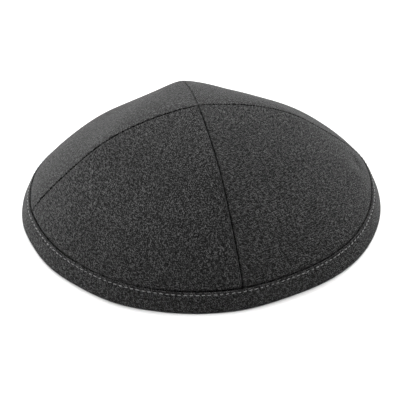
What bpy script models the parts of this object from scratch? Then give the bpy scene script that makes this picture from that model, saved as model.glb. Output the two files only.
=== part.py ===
# A kippah: four wool panels sewn into a dome, with a folded band round its rim.
# Metres, +Z up. It rests on z = 0, and its front faces -Y.
# Every share follows the named size beside which its table stands.

from collections import namedtuple
from math import asin, atan2, cos, pi, radians, sin

import bmesh
import bpy
import numpy as np
from mathutils import Vector

# The cap as a whole
RIM_LENGTH = 0.1841        # longest way across the crown at the rim
RIM_BREADTH = 0.1759       # shortest way across it
RIM_TURN = 13              # degrees that the oval is turned from +X
CROWN_HEIGHT = 0.0607      # from the resting plane to the tip
TIP_SHIFT_X = -0.0013      # the tip stands a little left of the rim's middle
TIP_SHIFT_Y = -0.0013      # and a little in front of it

# The cloth and its seams
CROWN_CLOTH = 0.0012       # wall of a panel, with its seam allowance pressed flat
BAND_CLOTH = 0.0010        # wall of each fold of the band
CLEARANCE = 0.0003         # left between two pieces of cloth that touch
SEAM_ROLL = 0.0010         # width over which a panel's edge rolls down into a seam
SEAM_DIP = 0.25            # how deep it rolls, as a share of CROWN_CLOTH

# The band
BAND_WIDTH = 0.0102        # up the outside, from the resting plane to the top edge
BAND_INSIDE = 0.0095       # up the inside
BAND_PROUD = 0.0005        # how far its face stands off the crown
DITCH_WIDTH = 0.0012       # strip of crown above it that is pulled in by the stitching
FOLD_ROUND = 0.0010        # rounding of the bottom fold, beside its flat

# How finely the shapes are drawn
PANEL_COLUMNS = 16
CROWN_ROWS = 16
DITCH_ROWS = 3
TUCK_ROWS = 2
BAND_COLUMNS = 96
ROUND_STEPS = 4

# Level sections of the crown, from the tip down to the rim.
# down: share of the way along the wall. reach: of the rim's radius. drop: of CROWN_HEIGHT.
# flat: how far a panel's middle is drawn in, as a share of its reach.
Section = namedtuple("Section", "down reach drop flat")
SECTIONS = (
    Section(0.0, 0.000, 0.000, 0.200),
    Section(0.1, 0.125, 0.027, 0.158),
    Section(0.2, 0.248, 0.070, 0.138),
    Section(0.3, 0.368, 0.129, 0.138),
    Section(0.4, 0.483, 0.207, 0.138),
    Section(0.5, 0.589, 0.307, 0.130),
    Section(0.6, 0.688, 0.425, 0.082),
    Section(0.7, 0.782, 0.549, 0.042),
    Section(0.8, 0.872, 0.681, 0.029),
    Section(0.9, 0.949, 0.829, 0.020),
    Section(1.0, 1.000, 1.000, 0.014),
)

# Slack waves of the soft rim. lobes: how many go round it. share: of its mean radius.
# azimuth: where one lobe stands out, in degrees from +X.
Wave = namedtuple("Wave", "lobes share azimuth")
RIM_WAVES = (
    Wave(3, 0.0068, -11),
    Wave(4, 0.0059, -7),
    Wave(5, 0.0069, 27),
    Wave(6, 0.0034, -26),
)

# Where the seams run down the crown, in degrees from +X.
SEAMS = {"front": -76.5, "right": 16, "back": 103, "left": 193}

# Each panel lies between two seams. taut: how far it takes up the sections' flatness.
# grey: its cloth's colour, linear.
Panel = namedtuple("Panel", "name first second taut grey")
PANELS = (
    Panel("panel_front_right", "front", "right", 0.83, 0.038),
    Panel("panel_back_right", "right", "back", 0.93, 0.042),
    Panel("panel_back_left", "back", "left", 1.00, 0.045),
    Panel("panel_front_left", "left", "front", 1.00, 0.040),
)
BAND_GREY = 0.036
WOOL_ROUGHNESS = 0.9

# Worked out from the sizes above
MEAN_RADIUS = (RIM_LENGTH + RIM_BREADTH) / 4
OVAL_SWING = (RIM_LENGTH - RIM_BREADTH) / 4
HALF_GAP = CLEARANCE / 2
TUCK_DEPTH = BAND_CLOTH + CLEARANCE - BAND_PROUD
SLOT_OUTER = BAND_CLOTH - BAND_PROUD
SLOT_INNER = TUCK_DEPTH + CROWN_CLOTH + CLEARANCE
BAND_BACK = SLOT_INNER + BAND_CLOTH
SLOT_LIFT = 1.2 * BAND_CLOTH
TUCK_LIFT = SLOT_LIFT + CLEARANCE


def smooth_curve(stations, values):
    # A natural cubic spline through a table's column
    x = np.array(stations)
    y = np.array(values)
    span = np.diff(x)
    slope = np.diff(y) / span
    stiffness = np.eye(len(x))
    pull = np.zeros(len(x))
    for i in range(1, len(x) - 1):
        stiffness[i, i - 1:i + 2] = span[i - 1], 2 * (span[i - 1] + span[i]), span[i]
        pull[i] = 6 * (slope[i] - slope[i - 1])
    bend = np.linalg.solve(stiffness, pull)

    def at(share):
        i = int(np.clip(np.searchsorted(x, share) - 1, 0, len(span) - 1))
        b = (share - x[i]) / span[i]
        a = 1 - b
        curl = (a**3 - a) * bend[i] + (b**3 - b) * bend[i + 1]
        return float(a * y[i] + b * y[i + 1] + curl * span[i]**2 / 6)

    return at


DOWNS = [row.down for row in SECTIONS]
reach_at = smooth_curve(DOWNS, [row.reach for row in SECTIONS])
drop_at = smooth_curve(DOWNS, [row.drop for row in SECTIONS])
flat_at = smooth_curve(DOWNS, [row.flat for row in SECTIONS])


def rim_radius(azimuth):
    radius = MEAN_RADIUS + OVAL_SWING * cos(2 * (azimuth - radians(RIM_TURN)))
    for wave in RIM_WAVES:
        turn = wave.lobes * (azimuth - radians(wave.azimuth))
        radius += MEAN_RADIUS * wave.share * cos(turn)
    return radius


def chord_sag(azimuth):
    # 0 at the seams and most at a panel's middle, as a straight chord falls inside its arc
    for panel in PANELS:
        first = radians(SEAMS[panel.first])
        width = (radians(SEAMS[panel.second]) - first) % (2 * pi)
        into = (azimuth - first + 1e-9) % (2 * pi)
        if into <= width + 1e-8:
            quarter = (into / width - 0.5) * pi / 2
            return panel.taut * (1 - cos(pi / 4) / cos(quarter)) / (1 - cos(pi / 4))
    return 0.0


def crown_point(azimuth, down):
    # On the crown's outer face. Past the tip, down is negative and runs down the far side.
    level = abs(down)
    reach = reach_at(level)
    radius = rim_radius(azimuth) * reach * (1 - flat_at(level) * chord_sag(azimuth))
    if down < 0:
        radius = -radius
    x = TIP_SHIFT_X * (1 - reach) + radius * cos(azimuth)
    y = TIP_SHIFT_Y * (1 - reach) + radius * sin(azimuth)
    return Vector((x, y, CROWN_HEIGHT * (1 - drop_at(level))))


def cloth_point(azimuth, down, depth):
    # Squarely in from the crown's outer face, within the upright plane of the azimuth
    step = 0.01
    run = crown_point(azimuth, min(down + step, 1)) - crown_point(azimuth, down - step)
    outward = Vector((cos(azimuth), sin(azimuth), 0))
    across = -run.z
    up = run.dot(outward)
    normal = (outward * across + Vector((0, 0, up))).normalized()
    return crown_point(azimuth, down) - normal * depth


# Lengths along the wall, measured on the mean radius from the rim upwards
LEVELS = np.linspace(0, 1, 401)
WALL_X = np.array([MEAN_RADIUS * reach_at(level) for level in LEVELS])
WALL_Z = np.array([CROWN_HEIGHT * drop_at(level) for level in LEVELS])
WALL_RUN = np.concatenate([[0], np.cumsum(np.hypot(np.diff(WALL_X), np.diff(WALL_Z)))])
RIM_SLOPE = atan2(WALL_Z[-1] - WALL_Z[-6], WALL_X[-1] - WALL_X[-6])


def down_at(length_up):
    return float(np.interp(WALL_RUN[-1] - length_up, WALL_RUN, LEVELS))


def length_at(lift, depth):
    # How far up the wall a face at this depth stands this high over the resting plane
    return (lift + depth * cos(RIM_SLOPE)) / sin(RIM_SLOPE)


def folded_slab(name, columns, rows, place, thick, grey):
    # A flat grid of cloth, with a second skin if thick, moved cell by cell to its real place
    bm = bmesh.new()
    bmesh.ops.create_grid(bm, x_segments=columns, y_segments=rows, size=0.5)
    if thick:
        doubled = bmesh.ops.extrude_face_region(bm, geom=bm.faces[:], use_keep_orig=True)
        for item in doubled["geom"]:
            if isinstance(item, bmesh.types.BMVert):
                item.co.z = -1
    for vert in bm.verts:
        column = round((vert.co.x + 0.5) * columns)
        row = round((vert.co.y + 0.5) * rows)
        vert.co = place(column, row, vert.co.z < 0)
    bmesh.ops.remove_doubles(bm, verts=bm.verts[:], dist=1e-7)
    bmesh.ops.recalc_face_normals(bm, faces=bm.faces[:])
    mesh = bpy.data.meshes.new(name)
    bm.to_mesh(mesh)
    bm.free()
    mesh.shade_smooth()
    mesh.set_sharp_from_angle(angle=radians(40))
    mesh.materials.append(wool(name, grey))
    piece = bpy.data.objects.new(name, mesh)
    bpy.context.scene.collection.objects.link(piece)
    return piece


def wool(name, grey):
    material = bpy.data.materials.new("charcoal_wool_" + name)
    material.use_nodes = True
    shader = material.node_tree.nodes["Principled BSDF"]
    shader.inputs["Base Color"].default_value = (grey, grey, grey * 1.03, 1)
    shader.inputs["Roughness"].default_value = WOOL_ROUGHNESS
    shader.inputs["Metallic"].default_value = 0
    return material


def panel_rows():
    # (down on the outer face, down on the inner face, how far the outer face is pulled in)
    ditch_top = down_at(BAND_WIDTH + DITCH_WIDTH)
    rows = [(level, level, 0.0) for level in np.linspace(0, ditch_top, CROWN_ROWS + 1)]
    for i in range(1, DITCH_ROWS + 1):
        share = i / DITCH_ROWS
        level = down_at(BAND_WIDTH + DITCH_WIDTH * (1 - share))
        rows.append((level, level, TUCK_DEPTH * share**2 * (3 - 2 * share)))
    outer_end = length_at(TUCK_LIFT, TUCK_DEPTH)
    inner_end = length_at(TUCK_LIFT, TUCK_DEPTH + CROWN_CLOTH)
    for i in range(1, TUCK_ROWS + 1):
        share = i / TUCK_ROWS
        outer = down_at(BAND_WIDTH + (outer_end - BAND_WIDTH) * share)
        inner = down_at(BAND_WIDTH + (inner_end - BAND_WIDTH) * share)
        rows.append((outer, inner, TUCK_DEPTH))
    return rows


def column_share(column, roll):
    # Two narrow columns roll into the seam on each side, and the rest lie evenly between
    if column > PANEL_COLUMNS / 2:
        return 1 - column_share(PANEL_COLUMNS - column, roll)
    if column <= 2:
        return roll * column / 2
    return roll + (1 - 2 * roll) * (column - 2) / (PANEL_COLUMNS - 4)


def make_panel(panel):
    first = radians(SEAMS[panel.first])
    width = (radians(SEAMS[panel.second]) - first) % (2 * pi)
    tip_radius = HALF_GAP / sin(width / 2)
    rows = panel_rows()

    def place(column, row, inner):
        outer_down, inner_down, pulled = rows[row]
        if row == 0:
            tip_down = tip_radius / (MEAN_RADIUS * reach_at(0.01) / 0.01)
            depth = CROWN_CLOTH if inner else SEAM_DIP * CROWN_CLOTH
            return cloth_point(first + width / 2, tip_down, depth)
        down = inner_down if inner else outer_down
        radius = MEAN_RADIUS * reach_at(down)
        margin = asin(min(HALF_GAP / radius, sin(width / 2)))
        roll = min(SEAM_ROLL / (radius * width), 0.25)
        share = column_share(column, roll)
        azimuth = first + margin + share * (width - 2 * margin)
        edge = min(share, 1 - share) / roll
        dip = SEAM_DIP * CROWN_CLOTH * max(0, 1 - edge)**2
        return cloth_point(azimuth, down, pulled + (CROWN_CLOTH if inner else dip))

    return folded_slab(panel.name, PANEL_COLUMNS, len(rows) - 1, place, True, panel.grey)


def leg_round(azimuth, length_up, depth, outward_first):
    # The round top edge of one fold of the band, about the middle of its cloth
    points = []
    for i in range(1, ROUND_STEPS):
        turn = pi * i / ROUND_STEPS
        side = -cos(turn) if outward_first else cos(turn)
        down = down_at(length_up + BAND_CLOTH / 2 * (sin(turn) - 1))
        points.append(cloth_point(azimuth, down, depth + BAND_CLOTH / 2 * side))
    return points


def face_run(azimuth, start, end, depth):
    # Three points along one face of the band, by their lengths up the wall
    lengths = (start, (start + end) / 2, end)
    return [cloth_point(azimuth, down_at(length), depth) for length in lengths]


def bottom_corner(azimuth, face, depth, inward):
    # From a face, round to the flat that the band rests on
    corner = cloth_point(azimuth, 1, depth)
    corner.z = 0
    outward = Vector((cos(azimuth), sin(azimuth), 0))
    toe = corner + outward * FOLD_ROUND * (-1 if inward else 1)
    points = []
    for share in (1 / 3, 2 / 3, 1):
        start_side = face.lerp(corner, share)
        points.append(start_side.lerp(corner.lerp(toe, share), share))
    return points


def band_section(azimuth):
    # Once round the band's cut end: up the outside, down into the slot, up and over the inside
    shoulder = BAND_CLOTH / 2
    outer = face_run(
        azimuth, length_at(FOLD_ROUND, -BAND_PROUD), BAND_WIDTH - shoulder, -BAND_PROUD
    )
    slot_out = face_run(
        azimuth, BAND_WIDTH - shoulder, length_at(SLOT_LIFT, SLOT_OUTER), SLOT_OUTER
    )
    slot_in = face_run(
        azimuth, length_at(SLOT_LIFT, SLOT_INNER), BAND_INSIDE - shoulder, SLOT_INNER
    )
    inner = face_run(
        azimuth, BAND_INSIDE - shoulder, length_at(FOLD_ROUND, BAND_BACK), BAND_BACK
    )
    outer_top = leg_round(azimuth, BAND_WIDTH, SLOT_OUTER - shoulder, True)
    inner_top = leg_round(azimuth, BAND_INSIDE, SLOT_INNER + shoulder, True)
    outer_foot = bottom_corner(azimuth, outer[0], -BAND_PROUD, True)
    inner_foot = bottom_corner(azimuth, inner[-1], BAND_BACK, False)
    upper = outer + outer_top + slot_out + slot_in + inner_top + inner
    return upper + inner_foot + outer_foot[::-1]


def make_band():
    sections = []
    for i in range(BAND_COLUMNS):
        sections.append(band_section(2 * pi * i / BAND_COLUMNS))

    def place(column, row, inner):
        section = sections[column % BAND_COLUMNS]
        return section[row % len(section)]

    rows = len(sections[0])
    return folded_slab("rim_band", BAND_COLUMNS, rows, place, False, BAND_GREY)


def centre_over_origin(pieces):
    # The middle of the cap's box stands over the origin
    points = [vert.co for piece in pieces for vert in piece.data.vertices]
    middle_x = (min(p.x for p in points) + max(p.x for p in points)) / 2
    middle_y = (min(p.y for p in points) + max(p.y for p in points)) / 2
    for point in points:
        point.x -= middle_x
        point.y -= middle_y


for old in list(bpy.data.objects):
    bpy.data.objects.remove(old, do_unlink=True)

cap = [make_panel(panel) for panel in PANELS]
cap.append(make_band())
centre_over_origin(cap)
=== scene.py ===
# Fabric kippah: four wool panels sewn into a dome, with a folded, topstitched band round its rim.
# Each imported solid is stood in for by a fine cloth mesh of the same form. Metres, +Z up.
from math import cos, pi, radians, sin

import bmesh
import bpy
import numpy as np
from mathutils import Euler, Matrix, Vector, noise


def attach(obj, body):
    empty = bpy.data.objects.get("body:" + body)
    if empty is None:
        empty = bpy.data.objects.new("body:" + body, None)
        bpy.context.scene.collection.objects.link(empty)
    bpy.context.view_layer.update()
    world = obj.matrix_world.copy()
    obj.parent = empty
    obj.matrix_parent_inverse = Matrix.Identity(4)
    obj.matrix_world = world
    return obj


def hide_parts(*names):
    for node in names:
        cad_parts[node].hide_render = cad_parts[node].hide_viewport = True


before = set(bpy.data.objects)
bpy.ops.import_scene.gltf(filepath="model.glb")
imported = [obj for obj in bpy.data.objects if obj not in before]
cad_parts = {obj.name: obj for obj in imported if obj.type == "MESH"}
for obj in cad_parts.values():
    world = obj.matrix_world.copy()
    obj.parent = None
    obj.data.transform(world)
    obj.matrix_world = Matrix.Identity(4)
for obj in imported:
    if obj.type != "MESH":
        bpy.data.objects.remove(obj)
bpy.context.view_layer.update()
mm = 0.001

# The cap's form. Its sizes are the solids' own, and the slack and the seams' ease are added.
form = {
    "rimLength": 0.1841,       # longest way across the crown at the rim
    "rimBreadth": 0.1759,      # shortest way across it
    "rimTurn": 13,             # degrees that the oval is turned from +X
    "height": 0.0607,
    "tipShift": (-0.0013, -0.0013),
    "slackHeight": 0.00020,    # soft unevenness of the cloth
    "slackLength": 0.034,
    "slackFade": 0.006,        # over this height it fades out towards the floor
    "seamEase": 0.3,           # how softly a panel's flatness begins beside its seam
}
# Where the cloth stands a little fuller or flatter: azimuth and share down the wall of the
# place, how far round in degrees and how far down the wall it spreads, and its height in mm
softSpots = (
    (187, 1.00, 10, 0.35, 0.15),
    (201, 1.00, 10, 0.35, -0.23),
    (215, 1.00, 10, 0.35, 0.42),
    (229, 1.00, 10, 0.35, -0.46),
    (243, 1.00, 10, 0.35, 0.43),
    (257, 1.00, 10, 0.35, -0.14),
    (271, 1.00, 10, 0.35, 0.11),
    (285, 1.00, 10, 0.35, 0.14),
    (299, 1.00, 10, 0.35, -0.43),
    (313, 1.00, 10, 0.35, 0.09),
    (327, 1.00, 10, 0.35, 0.11),
    (341, 1.00, 10, 0.35, -0.22),
    (355, 1.00, 10, 0.35, 0.20),
    (170, 0.96, 8, 0.20, 0.31),
    (26, 0.74, 11, 0.20, -0.27),
    (44, 0.74, 11, 0.20, 0.36),
    (122, 0.74, 11, 0.20, -0.24),
    (140, 0.74, 11, 0.20, 0.48),
    (156, 0.74, 11, 0.20, -0.13),
    (70, 0.42, 12, 0.17, -0.21),
    (5.5, 0.80, 3.5, 0.030, -0.75),
    (11, 0.79, 3, 0.040, 0.38),
    (-2, 0.79, 4, 0.045, 0.42),
    (58, 0.72, 8, 0.10, -0.32),
    (148, 0.60, 8, 0.12, -0.30),
    (172, 0.84, 5, 0.06, 0.26),
)
# down the wall, reach of the rim's radius, drop of the height, flatness of a panel's middle
sections = (
    (0.0, 0.000, 0.000, 0.200),
    (0.1, 0.125, 0.027, 0.158),
    (0.2, 0.248, 0.070, 0.138),
    (0.3, 0.368, 0.129, 0.138),
    (0.4, 0.483, 0.207, 0.138),
    (0.5, 0.589, 0.307, 0.130),
    (0.6, 0.688, 0.425, 0.082),
    (0.7, 0.782, 0.549, 0.042),
    (0.8, 0.872, 0.681, 0.029),
    (0.9, 0.949, 0.829, 0.020),
    (1.0, 1.000, 1.000, 0.014),
)
# lobes round the rim, share of its mean radius, azimuth of one lobe in degrees
rimWaves = ((3, 0.0068, -11), (4, 0.0059, -7), (5, 0.0069, 27), (6, 0.0034, -26))
# azimuths in degrees, the back one closer to the photo than the solids' 103
seams = {"front": -76.5, "right": 16, "back": 101.5, "left": 193}
seamGaps = {"front": 0.22, "right": 0.22, "back": 0.08, "left": 0.22}   # half of each, in mm
# panel: first seam, second seam, how far it takes up the flatness
panels = {
    "front_right": ("front", "right", 0.83),
    "back_right": ("right", "back", 0.93),
    "back_left": ("back", "left", 1.0),
    "front_left": ("left", "front", 1.0),
}

meanRadius = (form["rimLength"] + form["rimBreadth"]) / 4
ovalSwing = (form["rimLength"] - form["rimBreadth"]) / 4
tipSpread = sections[1][1] / sections[1][0]   # how fast the wall leaves the tip


def smoothCurve(column):
    # A natural cubic spline through one column of the sections, against the share down the wall
    x = np.array([row[0] for row in sections])
    y = np.array([row[column] for row in sections])
    span = np.diff(x)
    slope = np.diff(y) / span
    stiffness = np.eye(len(x))
    pull = np.zeros(len(x))
    for i in range(1, len(x) - 1):
        stiffness[i, i - 1:i + 2] = span[i - 1], 2 * (span[i - 1] + span[i]), span[i]
        pull[i] = 6 * (slope[i] - slope[i - 1])
    bend = np.linalg.solve(stiffness, pull)

    def at(share):
        i = np.clip(np.searchsorted(x, share) - 1, 0, len(span) - 1)
        b = (share - x[i]) / span[i]
        a = 1 - b
        curl = (a**3 - a) * bend[i] + (b**3 - b) * bend[i + 1]
        return a * y[i] + b * y[i + 1] + curl * span[i]**2 / 6

    return at


reachAt = smoothCurve(1)
dropAt = smoothCurve(2)
flatAt = smoothCurve(3)


def rimRadius(azimuth):
    radius = meanRadius + ovalSwing * np.cos(2 * (azimuth - radians(form["rimTurn"])))
    for lobes, share, stands in rimWaves:
        radius = radius + meanRadius * share * np.cos(lobes * (azimuth - radians(stands)))
    return radius


def chordSag(azimuth):
    # 0 at the seams and most at a panel's middle, as a straight chord falls inside its arc
    sag = np.zeros_like(azimuth)
    for first, second, taut in panels.values():
        start = radians(seams[first])
        width = (radians(seams[second]) - start) % (2 * pi)
        into = (azimuth - start) % (2 * pi)
        quarter = (np.clip(into / width, 0, 1) - 0.5) * pi / 2
        chord = taut * (1 - cos(pi / 4) / np.cos(quarter)) / (1 - cos(pi / 4))
        sag = np.where(into <= width, chord, sag)
    ease = form["seamEase"]
    return (np.hypot(sag, ease) - ease) / (np.hypot(1, ease) - ease)


def crownPoints(azimuth, down):
    # On the crown's outer face. Past the tip, down is negative and runs down the far side.
    level = np.abs(down)
    reach = reachAt(level)
    radius = rimRadius(azimuth) * reach * (1 - flatAt(level) * chordSag(azimuth))
    radius = np.where(down < 0, -radius, radius)
    x = form["tipShift"][0] * (1 - reach) + radius * np.cos(azimuth) - middle[0]
    y = form["tipShift"][1] * (1 - reach) + radius * np.sin(azimuth) - middle[1]
    return np.stack([x, y, form["height"] * (1 - dropAt(level))], -1)


def fullness(azimuth, down):
    height = np.zeros_like(azimuth)
    for around, level, spread, reach, rise in softSpots:
        turned = (np.degrees(azimuth) - around + 180) % 360 - 180
        height += rise * mm * np.exp(-(turned / spread)**2 - ((down - level) / reach)**2)
    return height


def clothPoints(azimuth, down, depth):
    # Squarely in from the crown's outer face, within the upright plane of the azimuth
    spots = (np.asarray(v, float) for v in (azimuth, down, depth))
    azimuth, down, depth = np.broadcast_arrays(*spots)
    step = 0.01
    run = crownPoints(azimuth, np.minimum(down + step, 1)) - crownPoints(azimuth, down - step)
    outX, outY = np.cos(azimuth), np.sin(azimuth)
    across = -run[..., 2]
    up = run[..., 0] * outX + run[..., 1] * outY
    size = np.hypot(across, up)
    normal = np.stack([outX * across / size, outY * across / size, up / size], -1)
    points = crownPoints(azimuth, down)
    slack = np.array([noise.noise(Vector(p) / form["slackLength"]) for p in points.reshape(-1, 3)])
    fade = np.clip(points[..., 2] / form["slackFade"], 0, 1)
    depth = depth - form["slackHeight"] * slack.reshape(depth.shape) * fade
    depth = depth - fullness(azimuth, down)
    return points - normal * depth[..., None]


# Lengths along the wall, measured on the mean radius from the rim upwards
levels = np.linspace(0, 1, 801)
wallX = meanRadius * reachAt(levels)
wallZ = form["height"] * dropAt(levels)
wallRun = np.concatenate([[0], np.cumsum(np.hypot(np.diff(wallX), np.diff(wallZ)))])
wallLength = wallRun[-1]
rimSlope = np.arctan2(wallZ[-1] - wallZ[-11], wallX[-1] - wallX[-11])


def downAt(lengthUp):
    return np.interp(wallLength - np.asarray(lengthUp, float), wallRun, levels)


def lengthAt(lift, depth):
    # How far up the wall a face at this depth stands this high over the resting plane
    return (lift + depth * cos(rimSlope)) / sin(rimSlope)


# The middle of the rim's box stands over the origin, as it does in the solids
rimAzimuths = np.linspace(0, 2 * pi, 721)
middle = (0.0, 0.0)
rim = crownPoints(rimAzimuths, np.full_like(rimAzimuths, 1.0))
middle = tuple((rim[:, i].max() + rim[:, i].min()) / 2 for i in (0, 1))
print("rim's middle, in mm:", [round(v / mm, 2) for v in middle], "wall", round(wallLength / mm, 2))


def addNode(tree, kind, inputs=None, **settings):
    # One shader node with its settings, its values and its links
    node = tree.nodes.new(kind)
    for name, value in settings.items():
        setattr(node, name, value)
    for socket, value in (inputs or {}).items():
        if isinstance(value, bpy.types.NodeSocket):
            tree.links.new(value, node.inputs[socket])
        else:
            node.inputs[socket].default_value = value
    return node


def linearColour(hexCode):
    # An sRGB hex value as the linear colour that shaders take
    channels = [int(hexCode[i:i + 2], 16) / 255 for i in (0, 2, 4)]
    return tuple(c / 12.92 if c <= 0.04045 else ((c + 0.055) / 1.055)**2.4 for c in channels) + (1,)


# A Wave texture of scale 1 has its diagonal bands this far apart
waveBand = 0.444
# A Noise texture mostly lies between these two
noiseLow, noiseHigh = 0.3, 0.7

# The wool: worsted-spun grey fibres blended before spinning, twill woven and lightly milled
wool = {
    "dark": "070707",
    "body": "262626",
    "light": "626262",
    "darkUpTo": 0.40,          # of the grain, the darkest fibres
    "bodyAt": 0.5,
    "lightFrom": 0.61,
    "tone": 0.70,              # of the whole cloth
    "cloudShare": 0.06,        # slow change of tone over the cloth
    "cloudSize": 16.0,         # mm
    "mottleShare": 0.13,       # uneven milling of the nap
    "mottleSize": 6.0,         # mm
    "grainWidth": 0.75,        # mm, a yarn and its fuzz
    "grainLength": 2.0,        # mm, a float of yarn on the face
    "grainRoughness": 0.55,
    "speckleSize": 0.42,       # mm, single fibres that catch the light
    "speckleShare": 0.35,
    "wanderScale": 0.55,       # turns per mm in which a yarn sways
    "wanderPush": 0.5,         # mm that it sways
    "ribPitch": 0.95,          # mm between twill ribs
    # painted light on the twill ribs and painted shade between them, standing in for the ribs' relief
    "ribPaintedShadeShare": 0.16,          # lighter on a rib, darker between
    "ribRelief": 0.35,         # of the ribs, beside the grain's own
    "relief": 0.00032,         # metres
    "sheen": 0.13,
}


def makeWool(name, seed):
    # Charcoal melange wool flannel, woven in a fine twill. The eye sees a matt, dark grey cloth
    # with light and dark fibres, faint slanting ribs and a pale bloom at its edges.
    # Real yarns are 0.4 mm wide and wouldn't show, so the grain is drawn about twice as coarse.
    material = bpy.data.materials.new(name)
    material.use_nodes = True
    tree = material.node_tree
    tree.nodes.clear()
    uv = addNode(tree, "ShaderNodeUVMap", uv_map="cloth")
    inMm = addNode(tree, "ShaderNodeMapping", {
        "Vector": uv.outputs["UV"], "Scale": (1 / mm, 1 / mm, 1),
        "Location": (seed * 37.0, seed * 53.0, 0),   # each piece is cut from its own place
    })
    wander = addNode(tree, "ShaderNodeTexNoise", {
        "Vector": inMm.outputs["Vector"], "Scale": wool["wanderScale"], "Detail": 2.0,
    }, noise_dimensions="3D")
    pushed = addNode(tree, "ShaderNodeVectorMath", {
        0: wander.outputs["Color"], 1: (wool["wanderPush"], wool["wanderPush"], 0),
    }, operation="MULTIPLY")
    cloth = addNode(tree, "ShaderNodeVectorMath", {
        0: inMm.outputs["Vector"], 1: pushed.outputs["Vector"],
    }, operation="ADD")

    def fibres(widthX, widthY, detail):
        scaled = addNode(tree, "ShaderNodeMapping", {
            "Vector": cloth.outputs["Vector"], "Scale": (1 / widthX, 1 / widthY, 1),
        })
        grain = addNode(tree, "ShaderNodeTexNoise", {
            "Vector": scaled.outputs["Vector"], "Scale": 1.0, "Detail": detail,
            "Roughness": wool["grainRoughness"],
        }, noise_dimensions="2D")
        return grain.outputs["Fac"]

    warp = fibres(wool["grainWidth"], wool["grainLength"], 2.0)
    weft = fibres(wool["grainLength"], wool["grainWidth"], 2.0)
    slant = addNode(tree, "ShaderNodeTexWave", {
        "Vector": cloth.outputs["Vector"], "Scale": waveBand / wool["ribPitch"],
        "Distortion": 1.6, "Detail": 1.0, "Detail Scale": 2.0,
    }, wave_type="BANDS", bands_direction="DIAGONAL")
    yarn = addNode(tree, "ShaderNodeMix", {
        "Factor": slant.outputs["Fac"], "A": warp, "B": weft,
    }, data_type="FLOAT")
    speckle = fibres(wool["speckleSize"], wool["speckleSize"], 0.0)
    mixed = addNode(tree, "ShaderNodeMix", {
        "Factor": wool["speckleShare"], "A": yarn.outputs["Result"], "B": speckle,
    }, data_type="FLOAT")
    melange = addNode(tree, "ShaderNodeValToRGB", {"Fac": mixed.outputs["Result"]})
    ramp = melange.color_ramp
    ramp.interpolation = "EASE"
    ramp.elements[0].position = wool["darkUpTo"]
    ramp.elements[0].color = linearColour(wool["dark"])
    ramp.elements[1].position = wool["lightFrom"]
    ramp.elements[1].color = linearColour(wool["light"])
    body = ramp.elements.new(wool["bodyAt"])
    body.color = linearColour(wool["body"])
    cloud = addNode(tree, "ShaderNodeTexNoise", {
        "Vector": inMm.outputs["Vector"], "Scale": 1 / wool["cloudSize"], "Detail": 2.0,
    }, noise_dimensions="2D")
    toned = addNode(tree, "ShaderNodeMapRange", {
        "Value": cloud.outputs["Fac"], "From Min": noiseLow, "From Max": noiseHigh,
        "To Min": wool["tone"] * (1 - wool["cloudShare"]),
        "To Max": wool["tone"] * (1 + wool["cloudShare"]),
    })
    mottle = addNode(tree, "ShaderNodeTexNoise", {
        "Vector": cloth.outputs["Vector"], "Scale": 1 / wool["mottleSize"], "Detail": 2.0,
    }, noise_dimensions="2D")
    mottled = addNode(tree, "ShaderNodeMapRange", {
        "Value": mottle.outputs["Fac"], "From Min": noiseLow, "From Max": noiseHigh,
        "To Min": 1 - wool["mottleShare"], "To Max": 1 + wool["mottleShare"],
    })
    nap = addNode(tree, "ShaderNodeMath", {
        0: toned.outputs["Result"], 1: mottled.outputs["Result"],
    }, operation="MULTIPLY")
    # painted light and shade of the twill ribs: the colour is made lighter on each rib and darker
    # between ribs
    paintedRibShading = addNode(tree, "ShaderNodeMapRange", {
        "Value": slant.outputs["Fac"], "To Min": 1 - wool["ribPaintedShadeShare"], "To Max": 1 + wool["ribPaintedShadeShare"],
    })
    # the wool's own mottled tone times the painted light and shade of the ribs
    shade = addNode(tree, "ShaderNodeMath", {
        0: nap.outputs["Value"], 1: paintedRibShading.outputs["Result"],
    }, operation="MULTIPLY")
    colour = addNode(tree, "ShaderNodeVectorMath", {
        0: melange.outputs["Color"], "Scale": shade.outputs["Value"],
    }, operation="SCALE")
    ribbed = addNode(tree, "ShaderNodeMath", {
        0: slant.outputs["Fac"], 1: wool["ribRelief"], 2: mixed.outputs["Result"],
    }, operation="MULTIPLY_ADD")
    relief = addNode(tree, "ShaderNodeBump", {
        "Height": ribbed.outputs["Value"], "Strength": 1.0, "Distance": wool["relief"],
    })
    shader = addNode(tree, "ShaderNodeBsdfPrincipled", {
        "Base Color": colour.outputs["Vector"], "Normal": relief.outputs["Normal"],
        "Roughness": 0.92, "Specular IOR Level": 0.15, "IOR": 1.54,
        "Sheen Weight": wool["sheen"], "Sheen Roughness": 0.3,
    })
    addNode(tree, "ShaderNodeOutputMaterial", {"Surface": shader.outputs["BSDF"]})
    return material


thread = {
    "colour": "8c8c8c",
    # painted shade in the grooves where the two plies turn, laid into the thread's colour
    "plyGroovePaintedShade": "585858",       # where the plies turn into each other's shade
    "length": 0.00195,         # of one stitch that shows
    "thickness": 0.00047,
    "uneven": 0.18,            # how far one stitch differs from the next
    "unevenShares": (0.6, 0.5, 0.5, 2.0),   # of that in its length, thickness, lean and depth
    "pitch": 0.00289,          # from one needle hole to the next
    "belowEdge": 0.0012,       # under the band's top edge
    "tilt": 0.07,              # lean of each stitch against the row
    "sunk": 0.00010,           # by how much its ends are drawn into the cloth
    "middleUp": 0.4,           # shares of that, for its middle and its ends
    "endsDown": 2.0,
    "standsOut": 0.25,         # of its thickness, above the pressed cloth
    "taper": 0.25,             # of its thickness, lost at its ends
    "stitchSides": 8,
    "stitchRings": 7,
    "plyPitch": 0.55,          # mm between turns of the ply
    "plyRelief": 0.0001,       # metres
}


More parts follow.
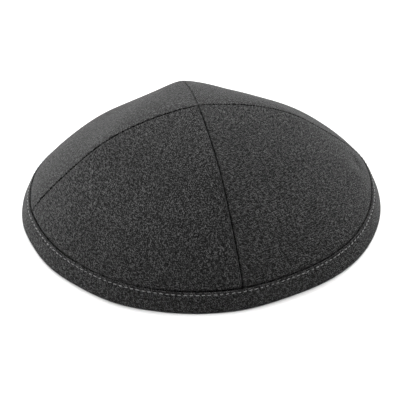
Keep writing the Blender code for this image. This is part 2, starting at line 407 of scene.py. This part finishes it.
def makeThread(name):
    # Grey spun-polyester sewing thread, two plies twisted together. The eye sees small pale
    # dashes, softly shining, with slanting lines where the plies turn.
    material = bpy.data.materials.new(name)
    material.use_nodes = True
    tree = material.node_tree
    tree.nodes.clear()
    uv = addNode(tree, "ShaderNodeUVMap", uv_map="cloth")
    inMm = addNode(tree, "ShaderNodeMapping", {
        "Vector": uv.outputs["UV"], "Scale": (1 / mm, 1 / mm, 1),
    })
    ply = addNode(tree, "ShaderNodeTexWave", {
        "Vector": inMm.outputs["Vector"], "Scale": waveBand / thread["plyPitch"],
        "Distortion": 0.6, "Detail": 1.0,
    }, wave_type="BANDS", bands_direction="DIAGONAL")
    # the thread's own grey, darkened by painted shade along the grooves between its plies
    colour = addNode(tree, "ShaderNodeMix", {
        "Factor": ply.outputs["Fac"],
        "A": linearColour(thread["plyGroovePaintedShade"]), "B": linearColour(thread["colour"]),
    }, data_type="RGBA")
    relief = addNode(tree, "ShaderNodeBump", {
        "Height": ply.outputs["Fac"], "Strength": 0.7, "Distance": thread["plyRelief"],
    })
    shader = addNode(tree, "ShaderNodeBsdfPrincipled", {
        "Base Color": colour.outputs["Result"], "Normal": relief.outputs["Normal"],
        "Roughness": 0.6, "IOR": 1.57, "Sheen Weight": 0.2,
    })
    addNode(tree, "ShaderNodeOutputMaterial", {"Surface": shader.outputs["BSDF"]})
    return material


def clothGrid(name, columns, rows, place, material, doubled=False):
    # A flat grid of cells, with a second skin if doubled, carried cell by cell to its real place.
    # place takes columns, rows and skins, and gives places and their spots on the flat cloth.
    bm = bmesh.new()
    bmesh.ops.create_grid(bm, x_segments=columns, y_segments=rows, size=0.5)
    if doubled:
        bmesh.ops.extrude_face_region(bm, geom=bm.faces[:], use_keep_orig=True)
        half = len(bm.verts) // 2
        bm.verts.ensure_lookup_table()
        for vert in bm.verts[half:]:
            vert.co.z = -1
    flat = np.array([vert.co[:] for vert in bm.verts])
    column = np.rint((flat[:, 0] + 0.5) * columns).astype(int)
    row = np.rint((flat[:, 1] + 0.5) * rows).astype(int)
    places, spots = place(column, row, flat[:, 2] < -0.5)
    layer = bm.loops.layers.uv.new("cloth")
    bm.verts.index_update()
    for face in bm.faces:
        for loop in face.loops:
            loop[layer].uv = spots[loop.vert.index]
    for vert, point in zip(bm.verts, places):
        vert.co = point
    bmesh.ops.remove_doubles(bm, verts=bm.verts[:], dist=1e-7)
    bmesh.ops.recalc_face_normals(bm, faces=bm.faces[:])
    return finishPiece(name, bm, material)


def finishPiece(name, bm, material):
    mesh = bpy.data.meshes.new(name)
    bm.to_mesh(mesh)
    bm.free()
    mesh.shade_smooth()
    mesh.materials.append(material)
    piece = bpy.data.objects.new(name, mesh)
    bpy.context.scene.collection.objects.link(piece)
    return piece


# One panel: its cloth, the rolled seam edges, and the part of it inside the band
panelMake = {
    "cloth": 0.0012,
    "areaShare": 0.58,         # of its length times its width, as a wedge is narrow at the tip
    "seamGapInside": 0.000002,   # closed, so that no light comes through
    "rollWidth": 0.00060,      # how the cloth rolls down into the seam
    "rollDepth": 0.00100,
    "seamZone": 0.0030,        # strip beside a seam with finer columns
    "zoneColumns": 12,
    "middleColumns": 70,
    "tipZone": 0.004,          # length at the tip with closer rows
    "tipRows": 9,
    "mainRows": 62,
    "ditchRows": 20,
    "tuckRows": 3,
    "puckerHeight": 0.00007,   # beside each stitch of the seam
    "puckerPitch": 0.0031,
    "puckerReach": 0.0035,
    "allowance": 0.0070,       # seam allowance, pressed open inside
    "allowanceLift": 0.00035,
    "allowanceEdge": 0.0008,
}
bandMake = {
    "cloth": 0.0010,
    "proud": 0.00050,          # how far its face stands off the crown
    "clearance": 0.00006,
    "slot": 0.00055,           # between its outer layer and the crown inside it
    "width": 0.0102,           # up the outside, from the resting plane
    "inside": 0.0095,          # up the inside
    "ditchOpen": 0.0006,       # width of the open ditch above its top edge
    "ditch": 0.0010,           # strip of crown that rolls down into that ditch
    "ditchMargin": 0.0004,     # the crown's close rows reach this far above it
    "ditchHidden": 0.0006,     # and this far down behind the top edge
    "pocketFoot": 0.0022,      # up the wall, where the crown's edge ends inside the band
    "pocketHeel": 0.0026,      # the same on the inner side of that pocket
    "foldRound": 0.0010,
    "columnsPerStitch": 6,
    "closeFrom": 0.0016,       # the close rows begin this far below the stitches
    # rows up the face and beside the stitches, over the top edge, down and up the pocket, over
    # the inner edge, down the inner face and round either half of the bottom fold
    "faceRows": 12,
    "stitchRows": 14,
    "topRows": 8,
    "pocketRows": 4,
    "innerTopRows": 7,
    "innerRows": 12,
    "foldRows": 6,
    "valleyDepth": 0.00010,    # where the stitching presses the cloth down
    "valleyWidth": 0.00070,
    "holeDepth": 0.00022,
    "holeWidth": 0.00038,
    "edgeLift": 0.00008,       # the top edge stands up between two needle holes
    "drawnIn": 0.00006,        # the crown above is drawn in at each needle hole
    "drawnReach": 0.004,
    "innerPress": 0.5,         # of that on the outer face
}
# Depths under the crown's outer face: the band's own face, the crown's edge inside the band,
# the pocket's inner side and the band's inner face
bandFace = -bandMake["proud"]
tuckDepth = bandMake["cloth"] + bandMake["slot"] - bandMake["proud"]
pocketBack = tuckDepth + panelMake["cloth"] + bandMake["clearance"]
bandBack = pocketBack + bandMake["cloth"]
stitchLine = bandMake["width"] - thread["belowEdge"]


def stitchCount():
    # How many stitches fill the row, and how long the row is
    ring = clothPoints(rimAzimuths, downAt(stitchLine), bandFace)
    length = np.linalg.norm(np.diff(ring, axis=0), axis=1).sum()
    return round(length / thread["pitch"]), length


stitches, stitchRing = stitchCount()
print("stitches round the band:", stitches, "on", round(stitchRing / mm, 1), "mm")


def panelRows():
    # Lengths up the wall of each row on the outer face, from the tip down to the tucked edge
    tipZone = panelMake["tipZone"]
    ditchTop = bandMake["width"] + bandMake["ditchOpen"] + bandMake["ditch"] + bandMake["ditchMargin"]
    ditchFoot = bandMake["width"] - bandMake["ditchHidden"]
    tip = [wallLength - tipZone * (i / panelMake["tipRows"])**2 for i in range(panelMake["tipRows"])]
    main = list(np.linspace(wallLength - tipZone, ditchTop, panelMake["mainRows"]))
    ditch = list(np.linspace(ditchTop, ditchFoot, panelMake["ditchRows"] + 1)[1:])
    tuck = list(np.linspace(ditchFoot, bandMake["pocketFoot"], panelMake["tuckRows"] + 1)[1:])
    return np.array(tip + main + ditch + tuck)


def makePanel(name, material):
    # A wedge with an outer and an inner skin, and with closer columns beside its seams
    first, second = panels[name][:2]
    start = radians(seams[first])
    width = (radians(seams[second]) - start) % (2 * pi)
    lengths = panelRows()
    zoneColumns = panelMake["zoneColumns"]
    half = zoneColumns + panelMake["middleColumns"] // 2

    def place(column, row, inner):
        length = lengths[row]
        gapOutside = np.where(column <= half, seamGaps[first], seamGaps[second]) * mm
        gap = np.where(inner, panelMake["seamGapInside"], gapOutside)
        down = np.maximum(downAt(length), gap / sin(width / 2) / (meanRadius * tipSpread))
        radius = meanRadius * reachAt(down)
        margin = np.arcsin(np.minimum(gap / radius, sin(width / 2)))
        margin = np.where(row == 0, width / 2, margin)
        halfWide = radius * (width / 2 - margin)
        # the close columns and the roll narrow with the panel, towards the tip
        zone = np.minimum(panelMake["seamZone"], 0.45 * halfWide)
        near = np.minimum(column, 2 * half - column)
        fine = zone * (near / zoneColumns)**2
        coarse = zone + (halfWide - zone) * (near - zoneColumns) / (half - zoneColumns)
        toSeam = np.where(near <= zoneColumns, fine, coarse)
        side = np.where(column <= half, -1.0, 1.0)
        azimuth = start + width / 2 + side * (halfWide - toSeam) / np.maximum(radius, 1e-9)
        azimuth = np.where(row == 0, start + width / 2, azimuth)
        # the cloth rolls over into the seam, with a slight pucker beside each seam stitch
        roll = np.minimum(panelMake["rollWidth"], 0.5 * zone + 1e-9)
        into = np.clip(1 - toSeam / roll, 0, 1)
        dip = panelMake["rollDepth"] * (1 - np.sqrt(1 - into**2)) * roll / panelMake["rollWidth"]
        pucker = panelMake["puckerHeight"] * np.exp(-toSeam / panelMake["puckerReach"])
        pucker = pucker * (0.5 + 0.5 * np.cos(2 * pi * length / panelMake["puckerPitch"] + side))
        # it sinks towards the band's top edge, drawn in at each needle hole
        rollFrom = bandMake["width"] + bandMake["ditchOpen"] + bandMake["ditch"]
        share = np.clip((rollFrom - length) / bandMake["ditch"], 0, 1)
        sunk = tuckDepth * (1 - np.sqrt(1 - share**2))
        above = np.clip((length - bandMake["width"]) / bandMake["drawnReach"], 0, 1)
        drawn = bandMake["drawnIn"] * (1 - above) * (0.5 + 0.5 * np.cos(azimuth * stitches))
        outerDepth = sunk + dip + pucker + drawn
        # inside, the seam allowance lies open as a low step
        raised = np.clip((panelMake["allowance"] - toSeam) / panelMake["allowanceEdge"], 0, 1)
        raised = raised * (1 - share)
        innerDepth = sunk + panelMake["cloth"] + panelMake["allowanceLift"] * raised
        places = clothPoints(azimuth, down, np.where(inner, innerDepth, outerDepth))
        spots = np.stack([side * (halfWide - toSeam), length], -1)
        return places, spots

    piece = clothGrid("crown_" + name, 2 * half, len(lengths) - 1, place, material, doubled=True)
    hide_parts("panel_" + name)
    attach(piece, "root")
    print("panel", name, "with", len(piece.data.polygons), "faces")


for number, name in enumerate(panels):
    makePanel(name, makeWool("charcoal_wool_flannel_" + name, number + 1))


def bandSection():
    # Once round the band's cut end, apart from its bottom fold: how far up the wall each row
    # lies, and how deep
    shoulder = bandMake["cloth"] / 2
    edge = bandMake["width"] - shoulder
    innerEdge = bandMake["inside"] - shoulder
    pocketFront = bandFace + bandMake["cloth"]
    foldTop = lengthAt(bandMake["foldRound"], bandFace)
    closeFrom = stitchLine - bandMake["closeFrom"]
    rows = []
    for length in np.linspace(foldTop, closeFrom, bandMake["faceRows"])[:-1]:
        rows.append((length, bandFace))
    for length in np.linspace(closeFrom, edge, bandMake["stitchRows"])[:-1]:
        rows.append((length, bandFace))
    for turn in np.linspace(0, pi, bandMake["topRows"]):
        rows.append((edge + shoulder * sin(turn), bandFace + shoulder - shoulder * cos(turn)))
    for length in np.linspace(edge, bandMake["pocketFoot"], bandMake["pocketRows"])[1:]:
        rows.append((length, pocketFront))
    for length in np.linspace(bandMake["pocketHeel"], innerEdge, bandMake["pocketRows"])[:-1]:
        rows.append((length, pocketBack))
    for turn in np.linspace(0, pi, bandMake["innerTopRows"]):
        rows.append((innerEdge + shoulder * sin(turn), pocketBack + shoulder - shoulder * cos(turn)))
    innerFoldTop = lengthAt(bandMake["foldRound"], bandBack)
    for length in np.linspace(innerEdge, innerFoldTop, bandMake["innerRows"])[1:]:
        rows.append((length, bandBack))
    return rows


def bottomFold(azimuth, face, depth, inward):
    # From a face of the band, round to the flat that it rests on
    corner = clothPoints(azimuth, 1.0, depth)
    corner[..., 2] = 0
    outward = np.stack([np.cos(azimuth), np.sin(azimuth), np.zeros_like(azimuth)], -1)
    toe = corner + outward * bandMake["foldRound"] * (-1 if inward else 1)
    ways = []
    for share in np.linspace(0, 1, bandMake["foldRows"])[1:]:
        start = face + (corner - face) * share
        end = corner + (toe - corner) * share
        ways.append(start + (end - start) * share)
    return ways


def stitchPress(azimuth, length):
    # How far the topstitching presses the band's face in
    above = length - stitchLine
    valley = bandMake["valleyDepth"] * np.exp(-(above / bandMake["valleyWidth"])**2)
    along = (azimuth * stitches / (2 * pi) + 0.5) % 1 - 0.5
    fromHole = np.hypot(along * thread["pitch"], above)
    hole = bandMake["holeDepth"] * np.exp(-(fromHole / bandMake["holeWidth"])**2)
    edge = np.clip(above / (bandMake["width"] - stitchLine), 0, 1)
    lift = bandMake["edgeLift"] * edge * (0.5 - 0.5 * np.cos(azimuth * stitches))
    return valley + hole - lift


def makeBand(material):
    # The band's section is carried round the rim, and its bottom fold closes it
    columns = stitches * bandMake["columnsPerStitch"]
    azimuths = np.linspace(0, 2 * pi, columns + 1)
    pastTop = bandFace + bandMake["cloth"] * 0.6   # over the crest of the top edge
    rings = []
    for length, depth in bandSection():
        # the outer face is pressed in, the inner layer less, and the pocket's outer side not
        press = stitchPress(azimuths, length)
        if depth > tuckDepth:
            press = bandMake["innerPress"] * press
        elif depth > pastTop:
            press = np.zeros_like(press)
        if depth > bandBack - 1e-6:
            press = -press
        rings.append(clothPoints(azimuths, downAt(length), depth + press))
    innerFold = bottomFold(azimuths, rings[-1], bandBack, False)
    outerFold = bottomFold(azimuths, rings[0], bandFace, True)
    rings += innerFold + outerFold[::-1]
    table = np.array(rings)
    table = np.concatenate([table, table[:1]])
    table[:, -1] = table[:, 0]
    steps = np.linalg.norm(np.diff(table, axis=0), axis=2).mean(axis=1)
    heights = np.concatenate([[0], np.cumsum(steps)])

    def place(column, row, inner):
        spots = np.stack([azimuths[column] * meanRadius, heights[row]], -1)
        return table[row, column], spots

    piece = clothGrid("folded_band", columns, len(table) - 1, place, material)
    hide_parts("rim_band")
    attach(piece, "root")
    print("band with", len(piece.data.polygons), "faces")


makeBand(makeWool("charcoal_wool_flannel_band", 6))


def makeStitches(name, depth, outside, material):
    # A row of short threads, each from one needle hole to the next
    bm = bmesh.new()
    layer = bm.loops.layers.uv.new("cloth")
    sides, rings = thread["stitchSides"], thread["stitchRings"]
    onSide = Matrix.Rotation(pi / 2, 4, "Y")
    alongs, ups, outs, verts = [], [], [], []
    sign = 1 if outside else -1
    random = np.random.default_rng(7 if outside else 8)
    for i in range(stitches):
        draws = random.normal(0, thread["uneven"], 4)
        longer, thicker, turned, deeper = draws * thread["unevenShares"]
        made = bmesh.ops.create_uvsphere(
            bm, u_segments=sides, v_segments=rings, radius=0.5, matrix=onSide,
        )
        lean = thread["tilt"] * sign + turned
        thick = thread["thickness"] * (1 + thicker)
        for vert in made["verts"]:
            x, y, z = vert.co
            swell = 1 - (2 * x)**4 * thread["taper"]
            along = x * thread["length"] * (1 + longer)
            bow = thread["middleUp"] + deeper - (2 * x)**2 * thread["endsDown"]
            alongs.append((i + 0.5) * thread["pitch"] + along)
            ups.append(y * thick * swell + along * lean)
            outs.append(z * thick * swell + thread["sunk"] * bow)
            verts.append(vert)
    azimuths = np.array(alongs) / thread["pitch"] * 2 * pi / stitches
    press = stitchPress(pi / stitches, stitchLine)   # midway between two holes
    depths = depth + sign * (press - np.array(outs) - thread["thickness"] * thread["standsOut"])
    points = clothPoints(azimuths, downAt(stitchLine + np.array(ups)), depths)
    local = {vert: vert.co.copy() for vert in verts}
    for face in bm.faces:
        # laid out along the thread and over about half its girth
        for loop in face.loops:
            spot = local[loop.vert]
            loop[layer].uv = (spot.x * thread["length"], spot.y * thread["thickness"] * 1.5)
    for vert, point in zip(verts, points):
        vert.co = point
    bmesh.ops.recalc_face_normals(bm, faces=bm.faces[:])
    piece = finishPiece(name, bm, material)
    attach(piece, "root")


threadMaterial = makeThread("spun_polyester_thread")
makeStitches("topstitching", bandFace, True, threadMaterial)
makeStitches("inner_stitching", bandBack, False, threadMaterial)
print("stitches made")


# Studio: a pale floor, soft light from above and both sides, and the camera of the photo
studio = {
    "floorSize": 8.0,
    "floorColour": "fafafa",
    "skyColour": (1.0, 1.0, 1.0, 1),
    "skyStrength": 0.01,
    # name: place, size and power in watts of a lamp aimed at the cap
    "lamps": {
        "back": ((0.0, 1.0, 1.2), 1.0, 28.6),
        "left": ((-1.4, -0.1, 0.55), 0.8, 19.5),
        "right": ((1.4, -0.1, 0.55), 0.8, 8.0),
        "back_left": ((-0.8, 1.2, 0.6), 0.8, 3.9),
        "top_left": ((-0.7, 0.3, 1.2), 0.9, 3.5),
        "top_right": ((0.7, 0.3, 1.2), 0.9, 11.5),
    },
    "lampAim": (0.0, 0.0, 0.03),
    # lamps straight over the floor round the cap, narrow enough to leave the cap alone
    "floorLamps": 6,
    "floorLampReach": 2.1,
    "floorLampHeight": 1.5,
    "floorLampSize": 1.6,
    "floorLampPower": 22.0,
    "floorLampSpread": 60,     # degrees
    "cameraElevation": 36.16,  # degrees
    "cameraRoll": -0.35,
    "cameraDistance": 0.80,
    "focalPixels": 1557.7,     # on a frame of 400 pixels
    "framePixels": 400,
    "aim": (-0.0007, 0.0002, 0.0019),
}


def makeFloor():
    bm = bmesh.new()
    bmesh.ops.create_grid(bm, x_segments=1, y_segments=1, size=studio["floorSize"] / 2)
    material = bpy.data.materials.new("matt_studio_paper")
    material.use_nodes = True
    shader = material.node_tree.nodes["Principled BSDF"]
    shader.inputs["Base Color"].default_value = linearColour(studio["floorColour"])
    shader.inputs["Roughness"].default_value = 0.9
    shader.inputs["Specular IOR Level"].default_value = 0.2
    finishPiece("studio_floor", bm, material)


def makeLamps():
    def softbox(name, place, size, power):
        light = bpy.data.lights.new("softbox_" + name, "AREA")
        light.shape = "DISK"
        light.size = size
        light.energy = power
        lamp = bpy.data.objects.new("softbox_" + name, light)
        lamp.location = place
        bpy.context.scene.collection.objects.link(lamp)
        return lamp

    for name, (place, size, power) in studio["lamps"].items():
        lamp = softbox(name, place, size, power)
        aim = Vector(studio["lampAim"]) - Vector(place)
        lamp.rotation_euler = aim.to_track_quat("-Z", "Y").to_euler()
    for number in range(studio["floorLamps"]):
        turn = 2 * pi * (number + 0.5) / studio["floorLamps"]
        reach = studio["floorLampReach"]
        place = (reach * cos(turn), reach * sin(turn), studio["floorLampHeight"])
        lamp = softbox("floor_%d" % number, place, studio["floorLampSize"], studio["floorLampPower"])
        lamp.data.spread = radians(studio["floorLampSpread"])
    world = bpy.data.worlds.new("white_room")
    world.use_nodes = True
    background = world.node_tree.nodes["Background"]
    background.inputs["Color"].default_value = studio["skyColour"]
    background.inputs["Strength"].default_value = studio["skyStrength"]
    bpy.context.scene.world = world


def makeCamera():
    data = bpy.data.cameras.new("photo_camera")
    data.sensor_width = 36
    data.lens = studio["focalPixels"] / studio["framePixels"] * data.sensor_width
    data.clip_start = 0.01
    camera = bpy.data.objects.new("photo_camera", data)
    rise = radians(studio["cameraElevation"])
    aim = Vector(studio["aim"]) - Vector((*middle, 0))
    camera.location = aim + studio["cameraDistance"] * Vector((0, -cos(rise), sin(rise)))
    camera.rotation_euler = Euler((pi / 2 - rise, 0, 0))
    camera.rotation_euler.rotate_axis("Z", radians(studio["cameraRoll"]))
    bpy.context.scene.collection.objects.link(camera)
    bpy.context.scene.camera = camera


makeFloor()
makeLamps()
makeCamera()
bpy.context.scene.view_settings.view_transform = "Standard"
print("studio ready")
